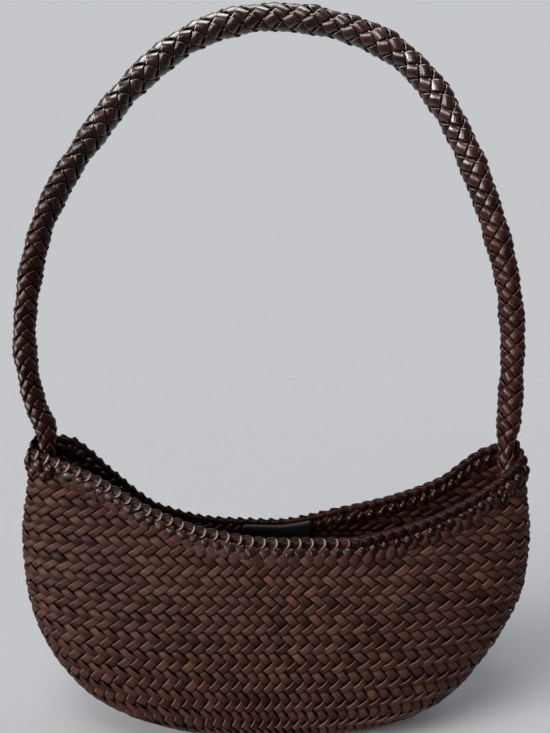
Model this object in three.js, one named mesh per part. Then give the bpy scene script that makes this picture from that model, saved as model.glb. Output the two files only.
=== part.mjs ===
// A soft shoulder bag woven from flat leather strips. A boat-shaped pouch stands on its flattened
// base, a plaited rim runs round its scooped mouth, and a long round braided strap rises from the
// two ends of the mouth. Units are millimetres, +Z is up, and the front of the bag faces -Y.
import * as THREE from 'three';

// Driving dimensions
const WALL = 3; // thickness of the two woven layers of strip
const GAP = 0.3; // clearance between neighbouring pieces
const RIM_HEIGHT = 8;
const RIM_THICKNESS = 7;
const RIM_END_THICKNESS = 5; // where it passes outside the strap
const LACING_HEIGHT = 15;
const LACING_THICKNESS = 1.4;
const LABEL_THICKNESS = 1.2;
const LABEL_HEIGHT = 26;
const LABEL_DROP = 4; // from the top of the rim to the top of the label

// Sections of the pouch from the base up. The outline of each one is a superellipse: power 2 is a
// plain ellipse, and a higher power has flatter sides and blunter ends.
const SECTIONS = [
  { z: 0, halfWidth: 88, halfDepth: 27, shift: 2.5, power: 2.0 },
  { z: 5, halfWidth: 97, halfDepth: 33.5, shift: 2, power: 2.05 },
  { z: 12, halfWidth: 111, halfDepth: 38.5, shift: 1.5, power: 2.1 },
  { z: 24, halfWidth: 129, halfDepth: 42.5, shift: 0.5, power: 2.2 },
  { z: 42, halfWidth: 145, halfDepth: 45.5, shift: 0, power: 2.3 },
  { z: 65, halfWidth: 160, halfDepth: 46, shift: 1, power: 2.4 },
  { z: 95, halfWidth: 172, halfDepth: 41, shift: 3.6, power: 2.5 },
  { z: 130, halfWidth: 176.5, halfDepth: 28.5, shift: 4.3, power: 2.7 },
  { z: 165, halfWidth: 173.5, halfDepth: 22, shift: 4.7, power: 3.2 },
  { z: 210, halfWidth: 172, halfDepth: 19.5, shift: 4.7, power: 3.6 },
];

// Height of the top of the rim along the front and the back of the mouth. Each side sags to its
// own lowest point, and the left-hand corner stands a little higher.
const MOUTH = [
  { x: -168, front: 190, back: 197 },
  { x: -146, front: 183, back: 193.5 },
  { x: -116, front: 171, back: 169 },
  { x: -81, front: 152.5, back: 141.5 },
  { x: -41, front: 138.5, back: 131 },
  { x: 4, front: 132.5, back: 129 },
  { x: 49, front: 132.5, back: 138 },
  { x: 89, front: 139.5, back: 148 },
  { x: 124, front: 152, back: 162 },
  { x: 154, front: 168, back: 184 },
  { x: 176, front: 183, back: 192 },
];

// Middle line of the strap, from its tail inside the left corner over the top to the right one.
const STRAP_ROUTE = [
  { x: -159.4, z: 152, radius: 6 },
  { x: -157.4, z: 178, radius: 6.2 },
  { x: -157.1, z: 193, radius: 6.2 },
  { x: -159, z: 203, radius: 7.1 },
  { x: -163.9, z: 213.5, radius: 7.5 },
  { x: -170.5, z: 239, radius: 7.6 },
  { x: -173.2, z: 267, radius: 7.6 },
  { x: -167.4, z: 317, radius: 7.9 },
  { x: -154.2, z: 359.6, radius: 8 },
  { x: -127.9, z: 403.3, radius: 8.6 },
  { x: -94.4, z: 445, radius: 9 },
  { x: -52.9, z: 476.9, radius: 9 },
  { x: -15.4, z: 489.1, radius: 8.9 },
  { x: 21.4, z: 489.4, radius: 8.9 },
  { x: 54, z: 482.4, radius: 9 },
  { x: 84, z: 469.4, radius: 9.1 },
  { x: 111.6, z: 444, radius: 9.1 },
  { x: 132.4, z: 410, radius: 9 },
  { x: 152.6, z: 360, radius: 9 },
  { x: 166.5, z: 309, radius: 8.5 },
  { x: 171, z: 267, radius: 8.3 },
  { x: 169.8, z: 226, radius: 8.2 },
  { x: 168.1, z: 203, radius: 8.2 },
  { x: 166.5, z: 191, radius: 6.3 },
  { x: 166.6, z: 178, radius: 6.2 },
  { x: 168.8, z: 152, radius: 6 },
];

// How finely the forms are cut into flat faces
const RING_STEPS = 88;
const ROW_SHARES = [0, 0.03, 0.08, 0.15, 0.25, 0.37, 0.5, 0.64, 0.78, 0.9, 1];
const ARC_SAMPLES = 48;
const END_CROWDING = 1.25; // above 1, columns crowd together towards the two ends
const RIM_SIDES = 8;
const STRAP_SIDES = 10;
const STRAP_STEPS = 84;
const LACING_ROWS = 4;
const LABEL_ROWS = 3;
const MOUTH_ITERATIONS = 6;
const CORNER_BLEND = 0.35; // share of the half depth over which front and back heights merge

// The columns of a ring run from the right end round the back to the left end and the front.
const LEFT_END = RING_STEPS / 2;
const LACING_REACH = 6; // columns on each side of an end
const LABEL_COLUMNS = [19.4, 24.4];

const UP = new THREE.Vector3(0, 0, 1);
const ACROSS = new THREE.Vector3(0, 1, 0);

// Smooth value of one column of a table at a place on its key column, with no overshoot.
function tableValue(rows, key, column, place) {
  const last = rows.length - 2;
  const found = rows.findIndex((row) => row[key] > place) - 1;
  const i = found === -2 ? last : Math.max(found, 0);
  const slope = (j) => (rows[j + 1][column] - rows[j][column]) / (rows[j + 1][key] - rows[j][key]);
  const tangent = (j) => {
    if (j === 0) return slope(0);
    if (j === rows.length - 1) return slope(last);
    const before = slope(j - 1);
    const after = slope(j);
    return before * after <= 0 ? 0 : (2 * before * after) / (before + after);
  };
  const span = rows[i + 1][key] - rows[i][key];
  const s = THREE.MathUtils.clamp((place - rows[i][key]) / span, 0, 1);
  const from = rows[i][column] * (1 + 2 * s) * (1 - s) ** 2 + tangent(i) * span * s * (1 - s) ** 2;
  const to = rows[i + 1][column] * s * s * (3 - 2 * s) + tangent(i + 1) * span * s * s * (s - 1);
  return from + to;
}

// Point at a share of the length of one quarter of a section, from its end to its middle.
function quarterPoint(share, halfWidth, halfDepth, power) {
  const points = [];
  const lengths = [0];
  for (let i = 0; i <= ARC_SAMPLES; i += 1) {
    const angle = (Math.PI / 2) * (i / ARC_SAMPLES);
    const x = halfWidth * Math.cos(angle) ** (2 / power);
    const y = halfDepth * Math.sin(angle) ** (2 / power);
    points.push(new THREE.Vector2(x, y));
    if (i > 0) lengths.push(lengths[i - 1] + points[i].distanceTo(points[i - 1]));
  }
  const target = share * lengths[ARC_SAMPLES];
  const next = Math.max(1, lengths.findIndex((length) => length >= target));
  const part = (target - lengths[next - 1]) / (lengths[next] - lengths[next - 1]);
  return points[next - 1].clone().lerp(points[next], part);
}

// Outer surface of the pouch at a height and a share of the way round, from the right end.
function pouchPoint(turn, z) {
  const value = (column) => tableValue(SECTIONS, 'z', column, z);
  const wrapped = turn - Math.floor(turn);
  const fromEnd = Math.abs(((wrapped * 2 + 0.5) % 1) - 0.5) * 2;
  const share = fromEnd ** END_CROWDING;
  const corner = quarterPoint(share, value('halfWidth'), value('halfDepth'), value('power'));
  const sideX = wrapped < 0.25 || wrapped > 0.75 ? 1 : -1;
  const sideY = wrapped < 0.5 ? 1 : -1;
  return new THREE.Vector3(value('shift') + sideX * corner.x, sideY * corner.y, z);
}

// Outward direction of the pouch wall, by differences over a short way round and up.
function pouchNormal(turn, z) {
  const stepTurn = 0.25 / RING_STEPS;
  const stepUp = 0.5;
  const along = pouchPoint(turn + stepTurn, z).sub(pouchPoint(turn - stepTurn, z));
  const rise = pouchPoint(turn, z + stepUp).sub(pouchPoint(turn, Math.max(0, z - stepUp)));
  return along.cross(rise).normalize();
}

function levelNormal(turn, z) {
  return pouchNormal(turn, z).setZ(0).normalize();
}

// Height of the top of the rim at a share of the way round.
function rimTop(turn) {
  let z = MOUTH[0].front;
  for (let i = 0; i < MOUTH_ITERATIONS; i += 1) {
    const point = pouchPoint(turn, z);
    const depth = tableValue(SECTIONS, 'z', 'halfDepth', z);
    const side = THREE.MathUtils.clamp(point.y / (depth * CORNER_BLEND), -1, 1);
    const front = tableValue(MOUTH, 'x', 'front', point.x);
    const back = tableValue(MOUTH, 'x', 'back', point.x);
    z = THREE.MathUtils.lerp(front, back, THREE.MathUtils.smoothstep(side, -1, 1));
  }
  return z;
}

function wallTop(turn) {
  return rimTop(turn) - RIM_HEIGHT - GAP;
}

// A solid skinned over rings of points, each ring turning the same way round the path.
// A closed path joins the last ring to the first, and an open one is capped at both ends.
function skinRings(rings, closedPath) {
  const sides = rings[0].length;
  const positions = rings.flat().flatMap((point) => point.toArray());
  const index = [];
  const spans = closedPath ? rings.length : rings.length - 1;
  for (let i = 0; i < spans; i += 1) {
    const here = i * sides;
    const next = ((i + 1) % rings.length) * sides;
    for (let j = 0; j < sides; j += 1) {
      const k = (j + 1) % sides;
      index.push(here + j, here + k, next + k, here + j, next + k, next + j);
    }
  }
  if (!closedPath) {
    const middle = (ring) => ring.reduce((sum, point) => sum.add(point), new THREE.Vector3())
      .divideScalar(sides);
    const start = rings.length * sides;
    const lastRing = (rings.length - 1) * sides;
    positions.push(...middle(rings[0]).toArray(), ...middle(rings.at(-1)).toArray());
    for (let j = 0; j < sides; j += 1) {
      const k = (j + 1) % sides;
      index.push(start, k, j, start + 1, lastRing + j, lastRing + k);
    }
  }
  const geometry = new THREE.BufferGeometry();
  geometry.setAttribute('position', new THREE.Float32BufferAttribute(positions, 3));
  geometry.setIndex(index);
  geometry.computeVertexNormals();
  return geometry;
}

// The pouch: an outer and an inner wall that meet along the mouth, both closed over the base.
function wovenBody() {
  const turns = Array.from({ length: RING_STEPS }, (_, k) => k / RING_STEPS);
  const outer = ROW_SHARES.map((share) => turns.map((turn) => pouchPoint(turn, share * wallTop(turn))));
  const inner = ROW_SHARES.map((share, row) => turns.map((turn, k) => {
    const z = share * wallTop(turn);
    const direction = share === 1 ? levelNormal(turn, z) : pouchNormal(turn, z);
    return outer[row][k].clone().addScaledVector(direction, -WALL);
  }));
  return skinRings([...outer, ...inner.reverse()], false);
}

// The rim: a rounded edging that sits on the wall all the way round the mouth.
function mouthRim() {
  const rings = [];
  for (let k = 0; k < RING_STEPS; k += 1) {
    const turn = k / RING_STEPS;
    const z = wallTop(turn);
    const out = levelNormal(turn, z);
    const sideShare = Math.abs(out.y);
    const thickness = THREE.MathUtils.lerp(RIM_END_THICKNESS, RIM_THICKNESS, sideShare);
    const middle = pouchPoint(turn, z).addScaledVector(out, -WALL / 2);
    middle.z += GAP + RIM_HEIGHT / 2;
    rings.push(Array.from({ length: RIM_SIDES }, (_, j) => {
      const angle = ((j + 0.5) / RIM_SIDES) * Math.PI * 2;
      const reach = 1 / Math.cos(Math.PI / RIM_SIDES);
      return middle.clone()
        .addScaledVector(out, (thickness / 2) * reach * Math.cos(angle))
        .addScaledVector(UP, (-RIM_HEIGHT / 2) * reach * Math.sin(angle));
    }));
  }
  return skinRings(rings, true);
}

// The strap: a round rope whose thickness follows its route table.
function strap() {
  const points = STRAP_ROUTE.map(({ x, z }) => new THREE.Vector3(x, 0, z));
  const curve = new THREE.CatmullRomCurve3(points, false, 'centripetal');
  const rings = [];
  for (let i = 0; i <= STRAP_STEPS; i += 1) {
    const share = i / STRAP_STEPS;
    const middle = curve.getPoint(share);
    const outward = ACROSS.clone().cross(curve.getTangent(share));
    const place = share * (STRAP_ROUTE.length - 1);
    const before = Math.min(Math.floor(place), STRAP_ROUTE.length - 2);
    const radius = THREE.MathUtils.lerp(
      STRAP_ROUTE[before].radius,
      STRAP_ROUTE[before + 1].radius,
      place - before,
    );
    rings.push(Array.from({ length: STRAP_SIDES }, (_, j) => {
      const angle = (j / STRAP_SIDES) * Math.PI * 2;
      return middle.clone()
        .addScaledVector(outward, radius * Math.cos(angle))
        .addScaledVector(ACROSS, radius * Math.sin(angle));
    }));
  }
  return skinRings(rings, false);
}

// A thin pad that follows the pouch wall between two columns. near and far are its two faces,
// measured outwards from the outer surface, and heights gives its bottom and top at a turn.
function wallPad({ fromColumn, toColumn, rows, heights, near, far, crown = () => 1 }) {
  const rings = [];
  for (let column = fromColumn; column <= toColumn; column += 1) {
    const turn = column / RING_STEPS;
    const [low, high] = heights(turn);
    const face = (offset) => Array.from({ length: rows + 1 }, (_, row) => {
      const z = THREE.MathUtils.lerp(low, high, row / rows);
      return pouchPoint(turn, z).addScaledVector(levelNormal(turn, z), offset(row / rows));
    });
    const outerFace = face((rise) => near + (far - near) * crown(rise));
    const innerFace = face(() => near);
    rings.push([...innerFace, ...outerFace.reverse()]);
  }
  return skinRings(rings, false);
}

// The stacked lacing that ties a strap end to its corner, just below the rim.
function cornerLacing(endColumn) {
  const edge = 0.55; // thickness left at the top and bottom edges
  return wallPad({
    fromColumn: endColumn - LACING_REACH,
    toColumn: endColumn + LACING_REACH,
    rows: LACING_ROWS,
    heights: (turn) => [wallTop(turn) - LACING_HEIGHT, wallTop(turn)],
    near: GAP,
    far: GAP + LACING_THICKNESS,
    crown: (rise) => edge + (1 - edge) * Math.sin(Math.PI * rise),
  });
}

// The bare label that hangs inside the back wall, over the inner face of the rim.
function innerLabel() {
  const face = -(WALL + RIM_THICKNESS) / 2 - GAP;
  const [fromColumn, toColumn] = LABEL_COLUMNS;
  const top = (turn) => rimTop(turn) - LABEL_DROP;
  return wallPad({
    fromColumn,
    toColumn,
    rows: LABEL_ROWS,
    heights: (turn) => [top(turn) - LABEL_HEIGHT, top(turn)],
    near: face - LABEL_THICKNESS,
    far: face,
  });
}

function leather(color, roughness) {
  return new THREE.MeshStandardMaterial({ color, roughness, metalness: 0 });
}

const bodyLeather = leather(0x4a3229, 0.55);
const rimLeather = leather(0x3b201b, 0.4);
const strapLeather = leather(0x3c2621, 0.42);
const labelLeather = leather(0x0d0c0d, 0.6);

const bag = new THREE.Group();
function addPiece(name, geometry, material) {
  const piece = new THREE.Mesh(geometry, material);
  piece.name = name;
  bag.add(piece);
}
addPiece('woven_body', wovenBody(), bodyLeather);
addPiece('mouth_rim', mouthRim(), rimLeather);
addPiece('strap', strap(), strapLeather);
addPiece('corner_lacing_left', cornerLacing(LEFT_END), rimLeather);
addPiece('corner_lacing_right', cornerLacing(0), rimLeather);
addPiece('inner_label', innerLabel(), labelLeather);

export default bag;
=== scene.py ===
"""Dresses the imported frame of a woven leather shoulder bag.

The pouch is woven on the bias from flat strips, two over and two under. Overlapping wraps, a row of
knots and a row of strip ends edge its mouth, and eight strands in a round braid make the strap. Shapes
are worked out in millimetres, in the frame's own axes, and turned into metres when a mesh is made.
"""
import math
from collections import namedtuple

import bpy
import numpy as np
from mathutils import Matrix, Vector


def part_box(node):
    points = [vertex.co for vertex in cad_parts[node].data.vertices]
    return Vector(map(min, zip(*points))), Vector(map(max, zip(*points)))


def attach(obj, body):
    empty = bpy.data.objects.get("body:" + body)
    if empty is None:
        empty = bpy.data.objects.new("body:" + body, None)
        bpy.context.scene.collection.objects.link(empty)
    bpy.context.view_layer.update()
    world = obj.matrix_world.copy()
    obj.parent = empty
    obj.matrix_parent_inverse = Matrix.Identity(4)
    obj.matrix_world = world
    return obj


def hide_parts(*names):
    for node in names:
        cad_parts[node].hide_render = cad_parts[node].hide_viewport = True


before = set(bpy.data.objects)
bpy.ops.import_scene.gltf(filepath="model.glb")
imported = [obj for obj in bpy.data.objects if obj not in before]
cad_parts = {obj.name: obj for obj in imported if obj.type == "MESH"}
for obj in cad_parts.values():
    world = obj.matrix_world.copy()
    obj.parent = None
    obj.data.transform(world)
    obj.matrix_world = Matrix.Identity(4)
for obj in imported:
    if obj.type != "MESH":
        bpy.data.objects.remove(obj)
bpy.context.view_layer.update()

MM = 0.001
SEED = 20

# Picture and camera
FRAME_HEIGHT_PIXELS = 733
FOCAL_PIXELS = 550
SENSOR = 36.0
CAMERA_PLACE = (3.5, -388.0, 244.0)

# Pouch, as the frame's woven_body has it
WALL = 3.0
GAP = 0.3
Section = namedtuple("Section", "z half_width half_depth shift power")
SECTIONS = [
    Section(0, 88, 27, 2.5, 2.0),
    Section(5, 97, 33.5, 2, 2.05),
    Section(12, 111, 38.5, 1.5, 2.1),
    Section(24, 129, 42.5, 0.5, 2.2),
    Section(42, 145, 45.5, 0, 2.3),
    Section(65, 160, 46, 1, 2.4),
    Section(95, 172, 41, 3.6, 2.5),
    Section(130, 176.5, 28.5, 4.3, 2.7),
    Section(165, 173.5, 22, 4.7, 3.2),
    Section(210, 172, 19.5, 4.7, 3.6),
]
Mouth = namedtuple("Mouth", "x front back")
MOUTH = [
    Mouth(-168, 190, 197),
    Mouth(-146, 183, 193.5),
    Mouth(-116, 171, 169),
    Mouth(-81, 152.5, 141.5),
    Mouth(-41, 138.5, 131),
    Mouth(4, 132.5, 129),
    Mouth(49, 132.5, 138),
    Mouth(89, 139.5, 148),
    Mouth(124, 152, 162),
    Mouth(154, 168, 184),
    Mouth(176, 183, 192),
]
CORNER_BLEND = 0.35
MOUTH_ITERATIONS = 6
GRID_HEIGHTS = 316
GRID_ANGLES = 400
GRID_SHARES = 420
RING_TABLE = 2048

# Weave
FLOATS_ROUND = 82  # floats in one row, all the way round
END_SPREAD = 1.2  # floats at the two ends are this much wider than the mean
BASE_RUN = SECTIONS[0].half_depth  # from the fold under the base to the edge of the base
RowPeriod = namedtuple("RowPeriod", "climb period")
ROW_PERIODS = [  # height of one rising and one falling row, by the way climbed from the fold
    RowPeriod(0, 15.5),
    RowPeriod(BASE_RUN, 14.5),
    RowPeriod(BASE_RUN + 42, 12.8),
    RowPeriod(BASE_RUN + 95, 10.9),
    RowPeriod(BASE_RUN + 150, 11.8),
    RowPeriod(BASE_RUN + 210, 13),
]
ROWS_MOST = 23  # more rows than the tallest corner has
CLIMB_STEPS = 1200
STRIP_LIFT = 0.4  # a strip's middle, above or below the middle of the wall
STRIP_ARCH = 1.6  # and how much higher the middle of a float is
STRIP_DIP = 0.5  # half the way, in strips, over which a strip goes from over to under
STRIP_HALF = 0.465  # half a strip's width, in strips
BASE_PRESS = 1.35  # the surface that the bag stands on presses the strips in this far
PRESS_REACH = 14.0  # and less and less over this way up the wall
STRIP_TUCK = 5.0  # the strips end this far below the top of the rim
STRIP_STOPS = (-1, -0.82, -0.6, -0.2, 0.2, 0.6, 0.82, 1, 1.18, 1.4, 1.8, 2.2, 2.6, 2.82)
STRIP_SECTION = [  # (share of the half width, height), over the top and back below
    (-1, 0.12), (-0.93, 0.5), (-0.5, 0.64), (0.5, 0.64), (0.93, 0.5), (1, 0.12),
    (0.95, -0.4), (0, -0.55), (-0.95, -0.4),
]
STRIP_OVER_MARK = [0.7, 1, 0, 0, 0, 0, -1, -1, -1]  # 1 at a pale cut edge, painted only on the edge facing the key light, so partly a painted highlight; -1 is painted shade
STRIP_TURNED_MARK = [0, 0, 0, 0, 1, 0.7, -1, -1, -1]  # the same, past the fold under the base
STRIP_PLAIN_MARK = [0, 0, 0, 0, 0, 0, -1, -1, -1]  # of the falling strips, which get no painted edge highlight; -1 is painted shade
# painted shade where a strip passes under its neighbours, and on its inner face, which darkens the inside
# of the bag
STRIP_UNDER_MARK = [-1, -1, -1, -1, -1, -1, -0.5, -0.8, -0.5]
STRIP_SHOWN = 0.8  # how far below the middle of its wave a strip starts to take its upper marks
STRIP_SWAY = 0.045  # to each side, in strips, for each of two waves
SWAY_WAVES = (0.23, 0.71)  # radians to a strip's width
STRIP_TONE = 0.45  # share of a float's tone that the whole strip has
FLOAT_SWELL = 0.3
FLOAT_TWIST = 0.5  # height of one edge of a float over the other, at most
LAYER_TUCK = 6.0  # the dark sheet of painted shade between the strips ends this far below the top of the rim
LAYER_HALF = 0.08
LAYER_COLUMNS = 180
LAYER_ROWS = 48
LAYER_HOLE = 0.05  # share of its climb where the layer starts, at the fold

# Rim
RIM_HEIGHT = 8.0
RIM_THICKNESS = 7.0
RIM_END_THICKNESS = 5.0
WRAP_PITCH = 7.9
WRAP_HALF = 4.6
WRAP_SET_IN = 1.1  # from the face of the rim to the middle of a wrap
WRAP_FROM = -72  # degrees round the rim, from straight out
WRAP_TO = 252
WRAP_STEPS = 15
WRAP_MIDDLE = 18  # where the bow of a wrap reaches furthest
WRAP_BOW = 3.2
WRAP_BOW_SPREAD = 0.3  # share by which the bows differ
WRAP_BOW_MOST = 1.4  # a bow stops after this many quarter turns
WRAP_JITTER = 0.5
WRAP_FULLNESS = (0.85, 1.15)
WRAP_END_SHARE = 0.55  # width of a wrap's two ends
WRAP_END_WIDENING = 1.6  # and how it widens from there, to each radian
WRAP_SECTION = [  # (share of the half width, height): one edge lies low and the leading one rolls up
    (-1, -1.6), (-0.6, -0.95), (-0.15, -0.4), (0.3, 0.1), (0.62, 0.6), (0.86, 1.1),
    (1, 0.75), (1, -0.4), (0.6, -1.2), (-0.4, -1.9),
]
# the pale rolled lip of each wrap is a painted highlight, partly a paler cut edge
WRAP_MARK = [0, 0, 0, 0, 0.4, 1, 1, 0.8, 0, 0]
BEAD_SECTION = [  # towards the right the wraps are rounder
    (-0.8, -1.6), (-0.74, -0.4), (-0.52, 0.6), (-0.16, 1.1), (0.2, 1.1), (0.54, 0.6),
    (0.74, -0.4), (0.8, -1.2), (0.5, -1.6), (-0.4, -1.9),
]
BEAD_DARKENING = 0.5  # share of their tone that round wraps lose: painted shade towards the right end, away from the key light
BEADS_FROM = 30.0  # place along the bag where the wraps start to be rounder
BEADS_FULL = 85.0
CORNER_SWELL = 0.3  # how much fuller the wraps are at the two ends of the mouth
CORE_SHARE = 0.62
CORE_SIDES = 10
CORE_STEPS = 240

# Knots below the rim and on the corners
KnotRow = namedtuple("KnotRow", "top drop half bulge lean pitch offset")
RIM_KNOTS = [
    KnotRow(top=-1.4, drop=5.6, half=2.7, bulge=0.7, lean=1.6, pitch=7.9, offset=0.5),
    KnotRow(top=3.0, drop=5.6, half=3.4, bulge=0.35, lean=-2.2, pitch=7.9, offset=0.0),
]
CORNER_KNOTS = [
    KnotRow(top=-1.6, drop=8.0, half=4.6, bulge=2.6, lean=1.2, pitch=9.2, offset=0.5),
    KnotRow(top=4.6, drop=6.6, half=3.9, bulge=1.5, lean=-1.8, pitch=9.2, offset=0.0),
]
CORNER_REACH = 32.0  # along the rim, on each side of an end
CORNER_FLAT = 0.35  # share of that reach over which the knots lie flat round the end
KNOT_SINK = 1.0
KNOT_BODY = 1.4
KNOT_ROLL = 1.7  # height of a knot that is rolled up round
KNOT_STEPS = 8
KNOT_LEAN_SPREAD = 0.9  # share by which the leans differ
KNOT_SIZES = (0.8, 1.2)
KNOT_BULGES = (0.7, 1.3)
KNOT_JITTER = 1.8
KNOT_TONE = 0.7
KNOT_DARKENING = 0.6  # share of their tone that rolled knots lose: painted shade towards the right end, away from the key light
FLAT_ARCH = 0.35  # power of a flat knot's arch, which is steep at its ends
ROLLED_ARCH = 0.65
FLAT_END = 0.75  # width of the ends of a flat knot
ROLLED_END = 0.4
CORNER_SIZES = (0.92, 1.08)
CORNER_TAPER = 0.2  # how much smaller the last corner knots are
CORNER_LOW = 0.3  # share of the bulge that is left right at the end
# the left corner's knots are painted lighter, a painted highlight, and the right corner's darker, painted
# shade
CORNER_TONES_LEFT = (0.5, 1)
CORNER_TONES_RIGHT = (0, 0.5)
BEAD_BULGE = 2.0  # how much further the rolled knots stand out
BEAD_NARROW = 0.15

# Strap
RoutePoint = namedtuple("RoutePoint", "x z radius")
STRAP_ROUTE = [
    RoutePoint(-159.4, 152, 6),
    RoutePoint(-157.4, 178, 6.2),
    RoutePoint(-157.1, 193, 6.2),
    RoutePoint(-159, 203, 7.1),
    RoutePoint(-163.9, 213.5, 7.5),
    RoutePoint(-170.5, 239, 7.6),
    RoutePoint(-173.2, 267, 7.6),
    RoutePoint(-167.4, 317, 7.9),
    RoutePoint(-154.2, 359.6, 8),
    RoutePoint(-127.9, 403.3, 8.6),
    RoutePoint(-94.4, 445, 9),
    RoutePoint(-52.9, 476.9, 9),
    RoutePoint(-15.4, 489.1, 8.9),
    RoutePoint(21.4, 489.4, 8.9),
    RoutePoint(54, 482.4, 9),
    RoutePoint(84, 469.4, 9.1),
    RoutePoint(111.6, 444, 9.1),
    RoutePoint(132.4, 410, 9),
    RoutePoint(152.6, 360, 9),
    RoutePoint(166.5, 309, 8.5),
    RoutePoint(171, 267, 8.3),
    RoutePoint(169.8, 226, 8.2),
    RoutePoint(168.1, 203, 8.2),
    RoutePoint(166.5, 191, 6.3),
    RoutePoint(166.6, 178, 6.2),
    RoutePoint(168.8, 152, 6),
]
ROUTE_SAMPLES = 40
STRANDS_EACH_WAY = 4
BraidStep = namedtuple("BraidStep", "share step")
BRAID_STEPS = [  # way along the strap between crossings, by the share of its length
    BraidStep(0, 5.0),
    BraidStep(0.2, 5.3),
    BraidStep(0.33, 6.6),
    BraidStep(0.52, 7.1),
    BraidStep(0.66, 6.6),
    BraidStep(0.8, 5.9),
    BraidStep(1, 5.7),
]
STRAND_HALF = 0.43
STRAND_LIFT = 1.4
STRAND_FLATNESS = 1.1
STRAND_BODY = 1.8
STRAND_STOPS = 4  # rings from one crossing to the next
STRAND_SWELL = 0.6
STRAND_CURL = 0.5  # a strand is flat across, so its edges stand this far off the round of the strap
STRAP_CORE_SHARE = 0.6
STRAND_SHOWN = 0.5  # how far below the middle of its wave a strand starts to take its upper marks
STRAND_TONE = 0.35  # share of a float's tone that the whole strand has
STRAP_TOP_SHINE = 0.95
POLISH_FROM = 320.0  # height where the shine starts to rise
POLISH_FULL = 450.0
STRAP_LUMP = 0.35
LUMP_LENGTHS = (9.0, 4.3)  # along the strap, to a radian

# Label
LABEL_HEIGHT = 26.0
LABEL_DROP = 4.0
LABEL_FACE = (WALL + RIM_THICKNESS) / 2 + GAP  # inwards from the outer face of the wall
LABEL_THICKNESS = 1.2
LABEL_CORNER = 3.0
LABEL_TURNS = (0.1, 0.4)  # the label lies somewhere on this share of the way round
LABEL_SEARCH = 400
LABEL_EDGE = 0.55  # thickness of its upper and lower edges
LABEL_SIDE = 0.6  # and of its two sides
LABEL_CROWN_POWER = 6
LABEL_MARK_POWER = 8
LABEL_COLUMNS = 33
LABEL_ROWS = 9

# Leather
MOTTLE_SCALE = 300
MOTTLE_SHARE = 0.5  # how far the mottling moves the tone, from its lowest to its highest
SMEAR_SCALE = 260
SMEAR_RANGE = (0.3, 0.7)
PEBBLE_SCALE = 1300
PEBBLE_SHARE = 0.5
CREASE_SCALE = 420
GRAIN_DEPTH = 0.4
EDGE_FROM = 0.55  # mark from which the pale cut edge, partly a painted highlight, shows

# Light and floor
WORLD_COLOUR = (0.9, 0.92, 0.95, 1)
WORLD_BEHIND = 0.62  # strength of the pale surroundings behind the bag
WORLD_AHEAD = 0.06  # and in front of it
WORLD_BLEND = (-0.3, 0.75)  # from the one to the other, by the direction's share of +Y
FLOOR_RADIUS = 14.0
FLOOR_SIDES = 96
FLOOR_COLOUR = (0.614, 0.645, 0.684, 1)
FLOOR_ROUGHNESS = 0.75
LIGHT_COLOUR = (1, 0.95, 0.915)
Light = namedtuple("Light", "name place strength spread glossy_only")
LIGHTS = [  # the spread is in degrees, and a glossy_only light adds sheen alone
    Light("key_light", (-0.83, -0.44, 0.3), 3.6, 30, False),
    Light("front_light", (-0.45, -0.87, 0.15), 1.1, 26, False),
    Light("top_light", (-0.12, -0.36, 0.92), 0.75, 26, False),
    Light("sheen_light", (-0.05, -0.3, 0.95), 2.5, 44, True),
]


def table_value(rows, key, column, place):
    """Smooth value of one column of a table at places on its key column, with no overshoot."""
    keys = np.array([getattr(row, key) for row in rows], float)
    values = np.array([getattr(row, column) for row in rows], float)
    slopes = np.diff(values) / np.diff(keys)
    before, after = slopes[:-1], slopes[1:]
    same_way = before * after > 0
    inner = np.where(same_way, 2 * before * after / np.where(same_way, before + after, 1), 0)
    tangents = np.concatenate([slopes[:1], inner, slopes[-1:]])
    i = np.clip(np.searchsorted(keys, place, side="right") - 1, 0, len(keys) - 2)
    span = keys[i + 1] - keys[i]
    s = np.clip((place - keys[i]) / span, 0, 1)
    start = values[i] * (1 + 2 * s) * (1 - s) ** 2 + tangents[i] * span * s * (1 - s) ** 2
    end = values[i + 1] * s * s * (3 - 2 * s) + tangents[i + 1] * span * s * s * (s - 1)
    return start + end


def between(limits, share):
    """The value at a share of the way from the first limit to the second."""
    return limits[0] + (limits[1] - limits[0]) * share


def unit(vectors):
    return vectors / np.maximum(np.linalg.norm(vectors, axis=-1, keepdims=True), 1e-9)


def quarter_outlines():
    """Quarter outlines of the pouch at many heights, each one cut into equal lengths from its end."""
    heights = np.linspace(SECTIONS[0].z, SECTIONS[-1].z, GRID_HEIGHTS)
    angles = np.linspace(0, math.pi / 2, GRID_ANGLES)
    shares = np.linspace(0, 1, GRID_SHARES)
    half_width = table_value(SECTIONS, "z", "half_width", heights)[:, None]
    half_depth = table_value(SECTIONS, "z", "half_depth", heights)[:, None]
    power = table_value(SECTIONS, "z", "power", heights)[:, None]
    x = half_width * np.cos(angles) ** (2 / power)
    y = half_depth * np.sin(angles) ** (2 / power)
    lengths = np.cumsum(np.hypot(np.diff(x), np.diff(y)), axis=1)
    lengths = np.concatenate([np.zeros((GRID_HEIGHTS, 1)), lengths], axis=1)
    grid = np.empty((GRID_HEIGHTS, GRID_SHARES, 2))
    for row in range(GRID_HEIGHTS):
        wanted = shares * lengths[row, -1]
        grid[row, :, 0] = np.interp(wanted, lengths[row], x[row])
        grid[row, :, 1] = np.interp(wanted, lengths[row], y[row])
    return grid


OUTLINES = quarter_outlines()


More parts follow.
